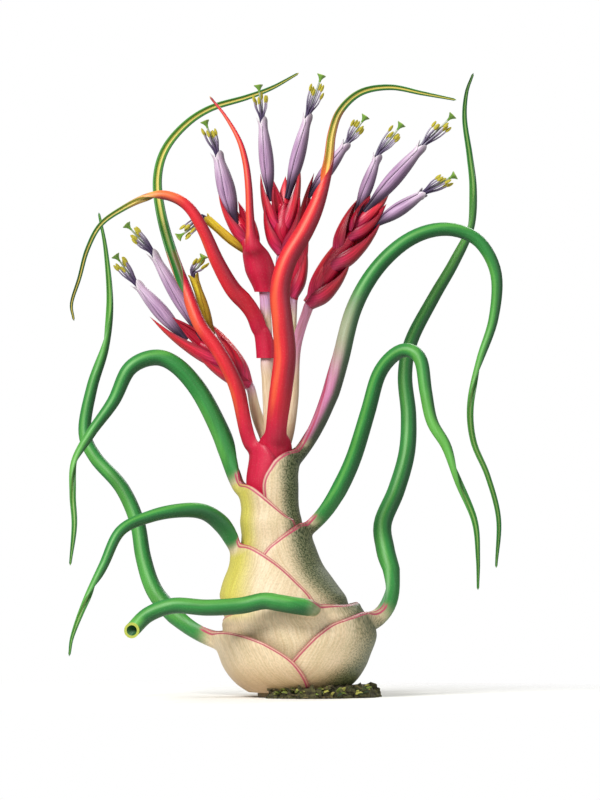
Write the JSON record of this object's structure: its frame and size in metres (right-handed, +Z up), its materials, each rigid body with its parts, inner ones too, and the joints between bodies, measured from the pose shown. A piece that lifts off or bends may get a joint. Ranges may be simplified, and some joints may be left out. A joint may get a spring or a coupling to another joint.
{
  "type": "bulbosa air plant",
  "caption": "Air plant with a fat bulb of overlapping leaf bases, thin curling channelled leaves and a branched red flower stalk with lilac tubular flowers.",
  "frame": {"origin": "centre of the flat root crown at the bottom of the bulb", "axes": "+Z up along the bulb and flower stalk, +X to the right in the picture, -Y towards the camera"},
  "size_m": [0.1375, 0.0743, 0.2012],
  "materials": {
    "crown": "matt dry plant tissue",
    "leaf_green": "satin living leaf",
    "leaf_red": "satin living leaf",
    "bract": "satin, finely ribbed",
    "petal": "soft satin petal",
    "withered": "dry petal",
    "stamen": "fine satin thread",
    "root": "matted dry fibre"
  },
  "bodies": {
    "root": {"leaf_1_lower_left": "leaf_green", "leaf_2_lower_right": "leaf_green", "leaf_3_front_cut": "leaf_green", "leaf_4_upper_left": "leaf_green", "leaf_5_right_neck": "leaf_green", "leaf_6_left_neck": "leaf_green", "leaf_7_right_arch": "leaf_green", "leaf_8_tall_left": "leaf_red", "leaf_9_red_centre": "leaf_red", "bract_leaf_lower": "leaf_red", "bract_leaf_upper": "leaf_red", "stem": "crown", "spike_1_lower_left": "bract", "spike_2_top": "bract", "spike_3_middle": "bract", "spike_4_behind": "bract", "spike_5_right": "bract", "root_mat": "root", "petals_01": "petal", "stamens_01": "stamen", "petals_02": "petal", "stamens_02": "stamen", "petals_03": "withered", "stamens_03": "stamen", "petals_04": "petal", "stamens_04": "stamen", "petals_05": "withered", "stamens_05": "stamen", "petals_06": "petal", "stamens_06": "stamen", "petals_07": "petal", "stamens_07": "stamen", "petals_08": "petal", "stamens_08": "stamen", "petals_09": "petal", "stamens_09": "stamen", "petals_10": "petal", "stamens_10": "stamen", "petals_11": "petal", "stamens_11": "stamen"}
  },
  "joints": []
}
